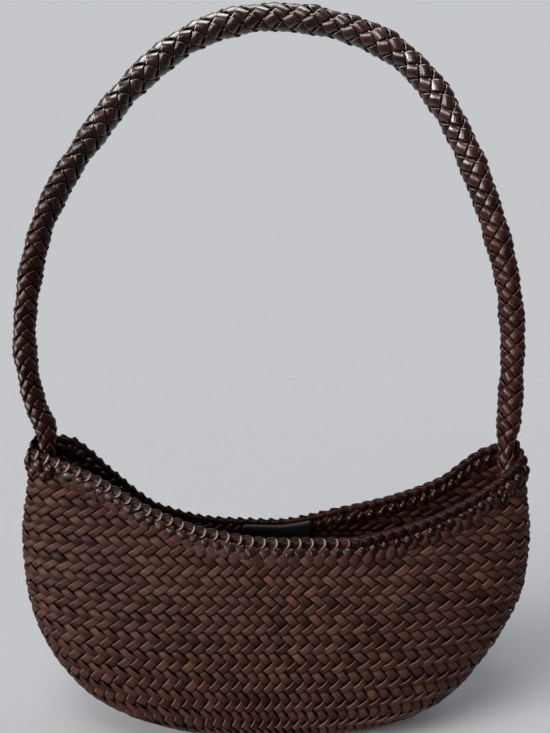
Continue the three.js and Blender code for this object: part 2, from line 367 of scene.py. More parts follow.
def pouch_point(turn, z):
    """Outer surface of the pouch at a height and a share of the way round, from the right end."""
    turn, z = np.broadcast_arrays(np.asarray(turn, float), np.asarray(z, float))
    wrapped = turn - np.floor(turn)
    from_end = np.abs((wrapped * 2 + 0.5) % 1 - 0.5) * 2
    share = from_end * (END_SPREAD + (1 - END_SPREAD) * from_end)
    row = np.clip((z - SECTIONS[0].z) / (SECTIONS[-1].z - SECTIONS[0].z), 0, 1) * (GRID_HEIGHTS - 1)
    column = np.clip(share, 0, 1) * (GRID_SHARES - 1)
    r = np.minimum(row.astype(int), GRID_HEIGHTS - 2)
    c = np.minimum(column.astype(int), GRID_SHARES - 2)
    up, on = (row - r)[..., None], (column - c)[..., None]
    low = OUTLINES[r, c] * (1 - on) + OUTLINES[r, c + 1] * on
    high = OUTLINES[r + 1, c] * (1 - on) + OUTLINES[r + 1, c + 1] * on
    corner = low * (1 - up) + high * up
    side_x = np.where((wrapped < 0.25) | (wrapped > 0.75), 1, -1)
    side_y = np.where(wrapped < 0.5, 1, -1)
    shift = table_value(SECTIONS, "z", "shift", z)
    return np.stack([shift + side_x * corner[..., 0], side_y * corner[..., 1], z], axis=-1)


def wall_point(turn, climb):
    """Outer surface by the way climbed from the fold: first over the base, then up the wall."""
    point = pouch_point(turn, np.maximum(climb - BASE_RUN, 0))
    spread = np.clip(climb / BASE_RUN, 0, 1)
    fold_share = 1 - SECTIONS[0].half_depth / SECTIONS[0].half_width
    centre = SECTIONS[0].shift
    drawn_in = centre + (point[..., 0] - centre) * between((fold_share, 1), spread)
    point[..., 0] = np.where(spread < 1, drawn_in, point[..., 0])
    point[..., 1] *= spread
    return point


def wall_normal(turn, climb):
    """Outward direction of the wall, by differences over a short way round and up."""
    step_turn, step_climb = 0.003, 3.0
    along = wall_point(turn + step_turn, climb) - wall_point(turn - step_turn, climb)
    rise = wall_point(turn, climb + step_climb) - wall_point(turn, np.maximum(climb - step_climb, 0))
    return unit(np.cross(along, rise))


def level_normal(turn, z):
    """Outward direction of the wall at a height, kept level."""
    normal = wall_normal(turn, z + BASE_RUN)
    normal[..., 2] = 0
    return unit(normal)


def rim_top_table():
    """Height of the top of the rim at even steps of the way round."""
    turn = np.arange(RING_TABLE) / RING_TABLE
    z = np.full(RING_TABLE, float(MOUTH[0].front))
    for _ in range(MOUTH_ITERATIONS):
        point = pouch_point(turn, z)
        depth = table_value(SECTIONS, "z", "half_depth", z)
        side = np.clip(point[:, 1] / (depth * CORNER_BLEND), -1, 1) / 2 + 0.5
        blend = side * side * (3 - 2 * side)
        front = table_value(MOUTH, "x", "front", point[:, 0])
        back = table_value(MOUTH, "x", "back", point[:, 0])
        z = front + (back - front) * blend
    return z


RIM_TOPS = rim_top_table()


def rim_top(turn):
    return np.interp(turn * RING_TABLE, np.arange(RING_TABLE), RIM_TOPS, period=RING_TABLE)


def wall_top(turn):
    return rim_top(turn) - RIM_HEIGHT - GAP


class Patchwork:
    """Gathers many closed ribbons into the arrays of one mesh, with a tone and a mark a point; the mark
    sets pale edges, partly painted highlights, and painted shade.
    """

    def __init__(self):
        self.points = []
        self.faces = []
        self.tones = []
        self.marks = []
        self.count = 0

    def add(self, rings, tones, marks, closed=False):
        """Skins rings of shape (length, sides, 3), with a tone a ring and a mark a side or a point."""
        length, sides = rings.shape[:2]
        index = self.count + np.arange(length * sides).reshape(length, sides)
        ahead = np.roll(index, -1, axis=0) if closed else index[1:]
        here = index if closed else index[:-1]
        quads = np.stack([here, np.roll(here, -1, 1), np.roll(ahead, -1, 1), ahead], axis=-1)
        faces = quads.reshape(-1, 4).tolist()
        if not closed:
            faces.append(index[0][::-1].tolist())
            faces.append(index[-1].tolist())
        if self.turned_in(rings, closed):
            faces = [face[::-1] for face in faces]
        self.faces += faces
        self.points.append(rings.reshape(-1, 3))
        self.tones.append(np.repeat(tones, sides))
        self.marks.append(np.broadcast_to(marks, (length, sides)).ravel())
        self.count += length * sides

    @staticmethod
    def turned_in(rings, closed):
        """True where the skinned rings enclose less than nothing, so that their faces look inwards."""
        ahead = np.roll(rings, -1, axis=0) if closed else rings[1:]
        here = rings if closed else rings[:-1]
        middle = rings.mean(axis=(0, 1))
        a, b = here - middle, np.roll(here, -1, 1) - middle
        c, d = np.roll(ahead, -1, 1) - middle, ahead - middle
        volume = (np.cross(a, b) * c).sum() + (np.cross(a, c) * d).sum()
        return volume < 0

    def make(self, name, material, nodes):
        """The mesh object, in metres, riding on the root body in place of some nodes."""
        mesh = bpy.data.meshes.new(name)
        points = np.concatenate(self.points) * MM
        mesh.from_pydata(points.tolist(), [], self.faces)
        mesh.polygons.foreach_set("use_smooth", np.ones(len(mesh.polygons), bool))
        # the edge attribute carries the pale cut edges, painted highlights and painted shade
        for title, values in (("tone", self.tones), ("edge", self.marks)):
            attribute = mesh.attributes.new(title, "FLOAT", "POINT")
            attribute.data.foreach_set("value", np.concatenate(values).astype(np.float32))
        mesh.materials.append(material)
        mesh.update()
        piece = bpy.data.objects.new(name, mesh)
        bpy.context.scene.collection.objects.link(piece)
        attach(piece, "root")
        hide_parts(*nodes)


def flat_section(half, body):
    """Section of a flat strip of leather with rounded edges: (across, height) over the top and back."""
    shape = [
        (-1, 0.1), (-0.94, 0.36), (-0.78, 0.47), (0, 0.53), (0.78, 0.47), (0.94, 0.36), (1, 0.1),
        (0.9, -0.4), (0, -0.5), (-0.9, -0.4),
    ]
    return np.array(shape) * (half, body)


# 1 at the cut edges; -1 on the underside is painted shade
FLAT_MARK = np.array([0.5, 1, 0.2, 0, 0.2, 1, 0.5, -1, -1, -1])
ROUND_MARK = np.zeros(len(FLAT_MARK))


def round_section(half, body):
    """Section of a strip that is rolled up round, in the same order as the flat one."""
    shape = [
        (-1, 0), (-0.87, 0.5), (-0.5, 0.87), (0, 1), (0.5, 0.87), (0.87, 0.5), (1, 0),
        (0.7, -0.5), (0, -0.6), (-0.7, -0.5),
    ]
    return np.array(shape) * (half, body)


# Materials
def new_material(name):
    material = bpy.data.materials.new(name)
    material.use_nodes = True
    return material, material.node_tree.nodes["Principled BSDF"]


def leather(name, colours, edge_and_highlight_colour, edge_and_highlight_share, painted_shade_colour, roughness, grain, shine):
    """Leather coloured by each strip's tone, with pale cut edges that are partly a painted highlight,
    painted shade where the mark is below 0, and a pebbled grain.
    """
    material, shader = new_material(name)
    nodes, links = material.node_tree.nodes, material.node_tree.links
    place = nodes.new("ShaderNodeTexCoord").outputs["Object"]

    tone = nodes.new("ShaderNodeAttribute")
    tone.attribute_name = "tone"
    mottle = nodes.new("ShaderNodeTexNoise")
    mottle.inputs["Scale"].default_value = MOTTLE_SCALE
    mottle.inputs["Detail"].default_value = 6
    mottle.inputs["Roughness"].default_value = 0.7
    links.new(place, mottle.inputs["Vector"])
    sway = nodes.new("ShaderNodeMath")
    sway.operation = "MULTIPLY_ADD"
    links.new(mottle.outputs["Fac"], sway.inputs[0])
    sway.inputs[1].default_value = MOTTLE_SHARE
    links.new(tone.outputs["Fac"], sway.inputs[2])
    shift = nodes.new("ShaderNodeMath")
    shift.operation = "SUBTRACT"
    links.new(sway.outputs[0], shift.inputs[0])
    shift.inputs[1].default_value = MOTTLE_SHARE / 2
    ramp = nodes.new("ShaderNodeValToRGB")
    links.new(shift.outputs[0], ramp.inputs["Fac"])
    stops = ramp.color_ramp.elements
    while len(stops) < len(colours):
        stops.new(0.5)
    for stop, (position, colour) in zip(stops, colours):
        stop.position = position
        stop.color = (*colour, 1)

    # marks above EDGE_FROM blend in a pale cut edge, a painted highlight on the rising strips' lit edge and
    # on the rim's lips
    edge = nodes.new("ShaderNodeAttribute")
    edge.attribute_name = "edge"
    edge_and_highlight_amount = nodes.new("ShaderNodeMapRange")
    links.new(edge.outputs["Fac"], edge_and_highlight_amount.inputs["Value"])
    edge_and_highlight_amount.inputs["From Min"].default_value = EDGE_FROM
    edge_and_highlight_amount.inputs["To Max"].default_value = edge_and_highlight_share
    edged = nodes.new("ShaderNodeMix")
    edged.data_type = "RGBA"
    links.new(edge_and_highlight_amount.outputs["Result"], edged.inputs["Factor"])
    links.new(ramp.outputs["Color"], edged.inputs["A"])
    edged.inputs["B"].default_value = (*edge_and_highlight_colour, 1)
    # painted shade: marks below 0 blend in a dark colour in gaps, on undersides and where strips pass under
    painted_shade_amount = nodes.new("ShaderNodeMapRange")
    links.new(edge.outputs["Fac"], painted_shade_amount.inputs["Value"])
    painted_shade_amount.inputs["From Min"].default_value = 0
    painted_shade_amount.inputs["From Max"].default_value = -1
    with_painted_shade = nodes.new("ShaderNodeMix")
    with_painted_shade.data_type = "RGBA"
    links.new(painted_shade_amount.outputs["Result"], with_painted_shade.inputs["Factor"])
    links.new(edged.outputs["Result"], with_painted_shade.inputs["A"])
    with_painted_shade.inputs["B"].default_value = (*painted_shade_colour, 1)
    links.new(with_painted_shade.outputs["Result"], shader.inputs["Base Color"])

    smear = nodes.new("ShaderNodeTexNoise")
    smear.inputs["Scale"].default_value = SMEAR_SCALE
    smear.inputs["Detail"].default_value = 4
    links.new(place, smear.inputs["Vector"])
    rough = nodes.new("ShaderNodeMapRange")
    links.new(smear.outputs["Fac"], rough.inputs["Value"])
    rough.inputs["From Min"].default_value = SMEAR_RANGE[0]
    rough.inputs["From Max"].default_value = SMEAR_RANGE[1]
    rough.inputs["To Min"].default_value = roughness[0]
    rough.inputs["To Max"].default_value = roughness[1]
    links.new(rough.outputs["Result"], shader.inputs["Roughness"])

    pebbles = nodes.new("ShaderNodeTexVoronoi")
    pebbles.feature = "SMOOTH_F1"
    pebbles.inputs["Scale"].default_value = PEBBLE_SCALE
    links.new(place, pebbles.inputs["Vector"])
    creases = nodes.new("ShaderNodeTexNoise")
    creases.inputs["Scale"].default_value = CREASE_SCALE
    creases.inputs["Detail"].default_value = 6
    links.new(place, creases.inputs["Vector"])
    relief = nodes.new("ShaderNodeMath")
    relief.operation = "MULTIPLY_ADD"
    links.new(pebbles.outputs["Distance"], relief.inputs[0])
    relief.inputs[1].default_value = PEBBLE_SHARE
    links.new(creases.outputs["Fac"], relief.inputs[2])
    bump = nodes.new("ShaderNodeBump")
    bump.inputs["Strength"].default_value = grain
    bump.inputs["Distance"].default_value = GRAIN_DEPTH * MM
    links.new(relief.outputs[0], bump.inputs["Height"])
    links.new(bump.outputs["Normal"], shader.inputs["Normal"])

    shader.inputs["Specular IOR Level"].default_value = shine
    return material


def polish_top(material, top_shine):
    """Makes a leather glossier towards its top, where it is worn smooth."""
    nodes, links = material.node_tree.nodes, material.node_tree.links
    shine = nodes["Principled BSDF"].inputs["Specular IOR Level"]
    place = nodes.new("ShaderNodeSeparateXYZ")
    links.new(nodes.new("ShaderNodeTexCoord").outputs["Object"], place.inputs[0])
    amount = nodes.new("ShaderNodeMapRange")
    amount.interpolation_type = "SMOOTHSTEP"
    links.new(place.outputs["Z"], amount.inputs["Value"])
    amount.inputs["From Min"].default_value = POLISH_FROM * MM
    amount.inputs["From Max"].default_value = POLISH_FULL * MM
    amount.inputs["To Min"].default_value = shine.default_value
    amount.inputs["To Max"].default_value = top_shine
    links.new(amount.outputs["Result"], shine)


def floor_material():
    material, shader = new_material("pale_floor")
    shader.inputs["Base Color"].default_value = FLOOR_COLOUR
    shader.inputs["Roughness"].default_value = FLOOR_ROUGHNESS
    return material


BODY_LEATHER = leather(
    "body_leather",
    colours=[
        (0.0, (0.018, 0.0054, 0.0041)),
        (0.35, (0.039, 0.0141, 0.0108)),
        (0.7, (0.053, 0.0218, 0.0166)),
        (0.85, (0.07, 0.031, 0.019)),
        (1.0, (0.075, 0.0228, 0.0155)),
    ],
    edge_and_highlight_colour=(0.18, 0.12, 0.095),
    edge_and_highlight_share=0.6,
    painted_shade_colour=(0.011, 0.002, 0.001),
    roughness=(0.42, 0.56),
    grain=0.4,
    shine=0.1,
)
RIM_LEATHER = leather(
    "rim_leather",
    colours=[
        (0.0, (0.0075, 0.0014, 0.001)),
        (0.5, (0.0155, 0.0032, 0.0022)),
        (1.0, (0.027, 0.0068, 0.0046)),
    ],
    edge_and_highlight_colour=(0.5, 0.38, 0.33),
    edge_and_highlight_share=0.75,
    painted_shade_colour=(0.008, 0.0016, 0.001),
    roughness=(0.26, 0.38),
    grain=0.25,
    shine=0.09,
)
KNOT_LEATHER = leather(
    "knot_leather",
    colours=[
        (0.0, (0.007, 0.0015, 0.001)),
        (0.5, (0.018, 0.0047, 0.0032)),
        (1.0, (0.04, 0.0136, 0.0092)),
    ],
    edge_and_highlight_colour=(0.16, 0.1, 0.08),
    edge_and_highlight_share=0.6,
    painted_shade_colour=(0.008, 0.0016, 0.001),
    roughness=(0.16, 0.45),
    grain=0.25,
    shine=0.28,
)
STRAP_LEATHER = leather(
    "strap_leather",
    colours=[
        (0.0, (0.011, 0.0028, 0.0022)),
        (0.5, (0.026, 0.0074, 0.0056)),
        (1.0, (0.047, 0.0148, 0.0112)),
    ],
    edge_and_highlight_colour=(0.12, 0.08, 0.065),
    edge_and_highlight_share=0.6,
    painted_shade_colour=(0.008, 0.0022, 0.0018),
    roughness=(0.2, 0.31),
    grain=0.3,
    shine=0.2,
)
polish_top(STRAP_LEATHER, STRAP_TOP_SHINE)
LABEL_LEATHER = leather(
    "label_leather",
    colours=[
        (0.0, (0.003, 0.0028, 0.003)),
        (1.0, (0.007, 0.0065, 0.007)),
    ],
    edge_and_highlight_colour=(0.012, 0.011, 0.011),
    edge_and_highlight_share=0.5,
    painted_shade_colour=(0.002, 0.002, 0.002),
    roughness=(0.45, 0.6),
    grain=0.3,
    shine=0.3,
)


# Woven body
def climb_table():
    """Row count at even steps of the way climbed from the fold."""
    climbs = np.linspace(0, ROW_PERIODS[-1].climb, CLIMB_STEPS)
    periods = table_value(ROW_PERIODS, "climb", "period", climbs)
    steps = np.diff(climbs) * 2 / (periods[1:] + periods[:-1])
    return climbs, np.concatenate([[0], np.cumsum(steps)])


CLIMBS, ROWS = climb_table()


def wave(run):
    """1 where a strip lies over, -1 where it lies under, by the way along it in strips."""
    place = np.abs((run + 2) % 4 - 2)
    dip = np.clip((place - 1) / STRIP_DIP, -1, 1)
    return -np.sin(dip * math.pi / 2)


def weave_strip(number, way, half_only, random):
    """Rings, tones and marks of one strip, which rises to the right where way is 1 and falls at -1."""
    stops = np.array(STRIP_STOPS)
    runs = (np.arange(-ROWS_MOST, ROWS_MOST)[:, None] * 4 + stops).ravel()
    place = runs if way == 1 else runs + 2
    turn = np.sign(runs + 1e-6) * (number + way * runs / 2) / FLOATS_ROUND
    height = np.interp(np.abs(runs) / 4, ROWS, CLIMBS) - BASE_RUN
    above = height > rim_top(turn) - STRIP_TUCK
    first = np.max(np.nonzero(above & (runs < 0))[0], initial=-1) + 1
    last = np.min(np.nonzero(above & (runs > 0))[0], initial=len(runs))
    if half_only:
        first = np.searchsorted(runs, 0)
    runs, place = runs[first:last], place[first:last]

    floats = np.floor((place + 1) / 2).astype(int)
    floats -= floats.min()
    strip_tone = random.random()
    float_tones = random.random(floats.max() + 1)
    tones = between((float_tones, strip_tone), STRIP_TONE)[floats]
    swell = (FLOAT_SWELL * (random.random(floats.max() + 1) - 0.5))[floats]
    twist = (FLOAT_TWIST * (random.random(floats.max() + 1) - 0.5))[floats]
    phases = random.random(2) * 2 * math.pi
    sway = STRIP_SWAY * np.sin(runs[:, None] * SWAY_WAVES + phases).sum(axis=1)

    section = np.array(STRIP_SECTION)
    across = section[:, 0] * STRIP_HALF + sway[:, None]
    from_middle = np.abs((place + 1) % 2 - 1)
    over = wave(place)
    arch = STRIP_ARCH * (1 - from_middle ** 2) * np.sign(over)
    heights = section[:, 1] + (over * (STRIP_LIFT + swell) + arch)[:, None]
    heights = heights + section[:, 0] * (twist * np.abs(over))[:, None]
    phase = number + way * runs[:, None] / 2 + across / 2
    row = (runs[:, None] - way * across) / 4
    side = np.where(row < 0, -1, 1)
    turn = side * phase / FLOATS_ROUND
    climb = np.interp(np.abs(row), ROWS, CLIMBS)
    pressed = BASE_PRESS * np.clip(1 - (climb - BASE_RUN) / PRESS_REACH, 0, 1)
    rings = wall_point(turn, climb) + wall_normal(turn, climb) * (heights - pressed - WALL / 2)[..., None]
    edged = np.array(STRIP_PLAIN_MARK)
    if way == 1:
        edged = np.where(runs[:, None] < 0, STRIP_TURNED_MARK, STRIP_OVER_MARK)
    # where a strip dives under, its marks turn to painted shade
    shown = np.clip(STRIP_SHOWN + over, 0, 1)[:, None]
    marks = shown * edged + (1 - shown) * np.array(STRIP_UNDER_MARK)
    return rings, tones, marks


def make_weave():
    random = np.random.default_rng(SEED)
    half = FLOATS_ROUND // 2
    for way, title in ((1, "rising"), (-1, "falling")):
        numbers = np.arange(half) + 0.5 if way == 1 else np.arange(half + 1)
        for part, chosen in enumerate(np.array_split(numbers, 2), start=1):
            work = Patchwork()
            for number in chosen:
                through_end = way == -1 and number in (0, half)
                work.add(*weave_strip(number, way, through_end, random))
            work.make(f"weave_{title}_{part}", BODY_LEATHER, ["woven_body"])


def make_shade_layer():
    """A dark sheet in the middle of the wall, behind the gaps between the strips: painted shade in the
    gaps.
    """
    turn = np.arange(LAYER_COLUMNS) / LAYER_COLUMNS
    share = np.linspace(LAYER_HOLE, 1, LAYER_ROWS)[:, None]
    climb = share * (rim_top(turn) - LAYER_TUCK + BASE_RUN)
    turn = np.broadcast_to(turn, climb.shape)
    middle = wall_point(turn, climb)
    normal = wall_normal(turn, climb)
    outer = middle - normal * (WALL / 2 - LAYER_HALF)
    inner = middle - normal * (WALL / 2 + LAYER_HALF)
    work = Patchwork()
    work.add(np.concatenate([outer, inner[::-1]]), np.zeros(2 * LAYER_ROWS), np.full(LAYER_COLUMNS, -1))
    work.make("weave_shade_layer", BODY_LEATHER, ["woven_body"])


# Rim
RimLine = namedtuple("RimLine", "length way turn middle out along rise thick tall")


def rim_line():
    """The middle line of the rim at even steps of its length, with its directions and half sizes."""
    turn = np.arange(RING_TABLE) / RING_TABLE
    z = wall_top(turn)
    out = level_normal(turn, z)
    middle = pouch_point(turn, z) - out * WALL / 2
    middle[:, 2] += GAP + RIM_HEIGHT / 2
    steps = np.linalg.norm(np.roll(middle, -1, 0) - middle, axis=1)
    way = np.concatenate([[0], np.cumsum(steps)[:-1]])
    along = unit(np.roll(middle, -2, 0) - np.roll(middle, 2, 0))
    rise = np.array([0, 0, 1.0]) - along * along[:, 2:]
    steepness = np.linalg.norm(rise, axis=1)
    thickness = RIM_END_THICKNESS + (RIM_THICKNESS - RIM_END_THICKNESS) * np.abs(out[:, 1])
    tall = RIM_HEIGHT / 2 * steepness
    return RimLine(steps.sum(), way, turn, middle, out, along, unit(rise), thickness / 2, tall)


RIM = rim_line()


def rim_value(column, way):
    """One column of the rim line at some ways along it."""
    values = getattr(RIM, column)
    if values.ndim == 1:
        return np.interp(way, RIM.way, values, period=RIM.length)
    return np.stack([np.interp(way, RIM.way, part, period=RIM.length) for part in values.T], axis=-1)


def rim_turn(way):
    """Share of the way round the mouth at some ways along the rim."""
    way = np.asarray(way) % RIM.length
    return np.interp(way, np.append(RIM.way, RIM.length), np.append(RIM.turn, 1))


LEFT_END = float(np.interp(0.5, RIM.turn, RIM.way))


def way_from_end(way):
    """Least way along the rim to one of the two ends of the mouth."""
    to_left = abs(way - LEFT_END)
    return min(to_left, way, RIM.length - way)


def bead_share(x):
    """0 where the wraps have a rolled edge, 1 where they are round."""
    share = np.clip((x - BEADS_FROM) / (BEADS_FULL - BEADS_FROM), 0, 1)
    return share * share * (3 - 2 * share)


def make_rim():
    random = np.random.default_rng(SEED + 1)
    core = Patchwork()
    way = np.linspace(0, RIM.length, CORE_STEPS, endpoint=False)
    angles = np.linspace(0, 2 * math.pi, CORE_SIDES, endpoint=False)
    middle, out, rise = (rim_value(column, way)[:, None] for column in ("middle", "out", "rise"))
    thick, tall = (rim_value(column, way)[:, None, None] * CORE_SHARE for column in ("thick", "tall"))
    rings = middle + out * thick * np.cos(angles)[:, None] + rise * tall * np.sin(angles)[:, None]
    # the core takes painted shade, which darkens the gaps between the wraps
    core.add(rings, np.zeros(CORE_STEPS), np.full(CORE_SIDES, -1), closed=True)
    core.make("rim_core", RIM_LEATHER, ["mouth_rim"])

    wraps = Patchwork()
    count = round(RIM.length / WRAP_PITCH)
    angles = np.radians(np.linspace(WRAP_FROM, WRAP_TO, WRAP_STEPS))
    furthest = math.radians(WRAP_MIDDLE)
    outward = np.clip(np.cos(angles) * 2, 0, 1)[:, None]
    for k in range(count):
        bow = WRAP_BOW * (1 + WRAP_BOW_SPREAD * (random.random() - 0.5))
        lead = -bow * np.minimum(np.abs((angles - furthest) / math.radians(90)), WRAP_BOW_MOST) ** 2
        way = k * RIM.length / count + lead + WRAP_JITTER * (random.random() - 0.5)
        middle, out, rise, along = (rim_value(column, way) for column in ("middle", "out", "rise", "along"))
        thick = rim_value("thick", way)[:, None] - WRAP_SET_IN
        tall = rim_value("tall", way)[:, None] - WRAP_SET_IN
        cos, sin = np.cos(angles)[:, None], np.sin(angles)[:, None]
        base = middle + out * thick * cos + rise * tall * sin
        normal = unit(out * cos / thick + rise * sin / tall)
        from_ends = np.minimum(angles - angles[0], angles[-1] - angles)
        ends = np.minimum(1, WRAP_END_SHARE + WRAP_END_WIDENING * from_ends)
        near_end = max(0, 1 - way_from_end(k * RIM.length / count) / CORNER_REACH)
        fullness = between(WRAP_FULLNESS, random.random()) * (1 + CORNER_SWELL * near_end)
        bead = bead_share(middle[0, 0])
        section = np.array(WRAP_SECTION) * (1 - bead) + np.array(BEAD_SECTION) * bead
        section = section * (WRAP_HALF, fullness)
        rings = (
            base[:, None]
            + unit(along)[:, None] * section[:, 0][:, None] * ends[:, None, None]
            + normal[:, None] * section[:, 1][:, None]
        )
        # towards the right end the wraps are painted darker, as shade away from the key light
        tone = random.random() * (1 - BEAD_DARKENING * bead)
        # the pale lip is painted on the outward face only and fades out towards the right, turned from the
        # key light: a painted highlight
        wraps.add(rings, np.full(WRAP_STEPS, tone), outward * np.array(WRAP_MARK) * (1 - bead))
    wraps.make("rim_wraps", RIM_LEATHER, ["mouth_rim"])


# Knots
def knot_rings(way, row, side, size, bulge, roll, random):
    """A short strip that comes out of the wall, bends over and goes back in, rolled up at roll 1."""
    share = np.linspace(0, 1, KNOT_STEPS)
    lean = row.lean * (1 + KNOT_LEAN_SPREAD * (random.random() - 0.5))
    turn = rim_turn(way + lean * (share - 0.5) * 2)
    z = wall_top(turn) - row.top - row.drop * size * share
    normal = wall_normal(turn, z + BASE_RUN) * side
    face = pouch_point(turn, z)
    if side < 0:
        face = face + normal * WALL
    arch = np.sin(math.pi * share) ** between((FLAT_ARCH, ROLLED_ARCH), roll)
    rise = (bulge + KNOT_SINK) * arch - KNOT_SINK
    path = face + normal * rise[:, None]
    forward = unit(np.gradient(path, axis=0))
    across = unit(np.cross(forward, normal))
    lift = np.cross(across, forward)
    half = row.half * size * (1 - BEAD_NARROW * roll)
    section = flat_section(half, KNOT_BODY) * (1 - roll) + round_section(half, KNOT_ROLL) * roll
    ends = between((between((FLAT_END, ROLLED_END), roll), 1), arch)
    return (
        path[:, None]
        + across[:, None] * section[:, 0][:, None] * ends[:, None, None]
        + lift[:, None] * section[:, 1][:, None]
    )


def make_rim_knots():
    random = np.random.default_rng(SEED + 2)
    high, low = RIM_KNOTS
    for title, row, sides, material in (
        ("rim_knots", high, (1, -1), KNOT_LEATHER),
        ("rim_strip_ends", low, (1,), BODY_LEATHER),
    ):
        work = Patchwork()
        count = round(RIM.length / row.pitch)
        for side in sides:
            for k in range(count):
                way = (k + row.offset) * RIM.length / count
                if side > 0 and way_from_end(way) < CORNER_REACH:
                    continue
                size = between(KNOT_SIZES, random.random())
                way += KNOT_JITTER * (random.random() - 0.5)
                bead = bead_share(rim_value("middle", way)[0])
                bulge = row.bulge * between(KNOT_BULGES, random.random()) * (1 + BEAD_BULGE * bead)
                rings = knot_rings(way, row, side, size, bulge, bead, random)
                # towards the right end the knots are painted darker, as shade away from the key light
                tone = KNOT_TONE * random.random() * (1 - KNOT_DARKENING * bead)
                work.add(rings, np.full(KNOT_STEPS, tone), FLAT_MARK * (1 - bead))
        work.make(title, material, ["mouth_rim"])


def make_corner_knots():
    random = np.random.default_rng(SEED + 3)
    corners = (("left", LEFT_END, CORNER_TONES_LEFT), ("right", 0, CORNER_TONES_RIGHT))
    for title, end, tones in corners:
        work = Patchwork()
        for row in CORNER_KNOTS:
            count = round(2 * CORNER_REACH / row.pitch)
            for k in range(count):
                share = (k + row.offset) / count * 2 - 1
                size = (1 - CORNER_TAPER * abs(share)) * between(CORNER_SIZES, random.random())
                bulge = row.bulge * size * min(1, between((CORNER_LOW, 1), abs(share) / CORNER_FLAT))
                rings = knot_rings(end + share * CORNER_REACH, row, 1, size, bulge, 1, random)
                # tones from the corner's range: lighter on the left as a painted highlight, darker on the
                # right as painted shade
                tone = between(tones, random.random())
                work.add(rings, np.full(KNOT_STEPS, tone), ROUND_MARK)
        work.make(f"corner_knots_{title}", KNOT_LEATHER, [f"corner_lacing_{title}"])


# Strap
def strap_curve():
    """Points of a smooth curve through the route, with the radius at each."""
    route = np.array([(point.x, 0, point.z) for point in STRAP_ROUTE], float)
    radii = np.array([point.radius for point in STRAP_ROUTE], float)
    padded = np.vstack([2 * route[0] - route[1], route, 2 * route[-1] - route[-2]])
    points, radius = [], []
    for k in range(len(route) - 1):
        before, start, end, after = padded[k:k + 4]
        gaps = [np.linalg.norm(b - a) ** 0.5 for a, b in ((before, start), (start, end), (end, after))]
        leave = (start - before) / gaps[0] - (end - before) / (gaps[0] + gaps[1]) + (end - start) / gaps[1]
        arrive = (end - start) / gaps[1] - (after - start) / (gaps[1] + gaps[2]) + (after - end) / gaps[2]
        s = np.linspace(0, 1, ROUTE_SAMPLES, endpoint=k == len(route) - 2)[:, None]
        points.append(
            start * (1 + 2 * s) * (1 - s) ** 2 + leave * gaps[1] * s * (1 - s) ** 2
            + end * s * s * (3 - 2 * s) + arrive * gaps[1] * s * s * (s - 1)
        )
        radius.append(radii[k] + (radii[k + 1] - radii[k]) * s[:, 0])
    return np.concatenate(points), np.concatenate(radius)


def make_strap():
    random = np.random.default_rng(SEED + 4)
    points, radii = strap_curve()
    way = np.concatenate([[0], np.cumsum(np.linalg.norm(np.diff(points, axis=0), axis=1))])
    length = way[-1]
    tangents = unit(np.gradient(points, way, axis=0))
    steps = table_value(BRAID_STEPS, "share", "step", way / length)
    crossings = np.concatenate([[0], np.cumsum(np.diff(way) * 2 / (steps[1:] + steps[:-1]))])
    side = np.array([0, 1.0, 0])
    phases = random.random(2) * 2 * math.pi
    radii = radii + STRAP_LUMP * np.sin(way[:, None] / LUMP_LENGTHS + phases).sum(axis=1)

    def on_strap(crossing, angle, radius_of):
        """Points round the strap at some crossings, by angle and by a function of the strap's radius."""
        spot = np.clip(crossing, 0, crossings[-1])
        at = np.interp(spot, crossings, way)
        middle = np.stack([np.interp(at, way, part) for part in points.T], axis=-1)
        tangent = unit(np.stack([np.interp(at, way, part) for part in tangents.T], axis=-1))
        outward = np.cross(side, tangent)
        radius = radius_of(np.interp(at, way, radii))
        return middle + radius[..., None] * (
            outward * np.cos(angle)[..., None] + side * np.sin(angle)[..., None]
        )

    column = math.pi / STRANDS_EACH_WAY
    stops = np.arange(0, math.floor(crossings[-1]) * STRAND_STOPS + 1) / STRAND_STOPS
    section = flat_section(STRAND_HALF, STRAND_BODY)
    section[:, 1] += STRAND_CURL * (section[:, 0] / STRAND_HALF) ** 2
    for turning, title in ((1, "right"), (-1, "left")):
        work = Patchwork()
        for k in range(STRANDS_EACH_WAY):
            floats = np.floor(stops + 0.5).astype(int)
            swell = (STRAND_SWELL * (random.random(floats.max() + 1) - 0.5))[floats]
            strand_tone = random.random()
            float_tones = random.random(floats.max() + 1)
            tones = between((float_tones, strand_tone), STRAND_TONE)[floats]
            over = np.clip(-np.cos(math.pi * stops) * turning * STRAND_FLATNESS, -1, 1)
            shown = np.clip(STRAND_SHOWN + over, 0, 1)[:, None]
            lift = over * (STRAND_LIFT + swell)
            crossing = stops[:, None] - turning * section[:, 0]
            angle = (2 * k + turning * stops[:, None] + section[:, 0]) * column
            depth = lift[:, None] + section[:, 1] - STRAND_LIFT - STRAND_BODY / 2
            rings = on_strap(crossing, angle, lambda radius: radius + depth)
            # where a strand dives under, and on its underside, the marks are painted shade
            work.add(rings, tones, shown * (FLAT_MARK + 1) - 1)
        work.make(f"strap_strands_{title}", STRAP_LEATHER, ["strap"])

    core = Patchwork()
    angles = np.linspace(0, 2 * math.pi, CORE_SIDES, endpoint=False)
    spots = np.linspace(0, crossings[-1], CORE_STEPS)
    grid = np.meshgrid(spots, angles, indexing="ij")
    rings = on_strap(*grid, lambda radius: radius * STRAP_CORE_SHARE)
    # the core takes painted shade, which darkens the gaps between the strands
    core.add(rings, np.zeros(CORE_STEPS), np.full(CORE_SIDES, -1))
    core.make("strap_core", STRAP_LEATHER, ["strap"])


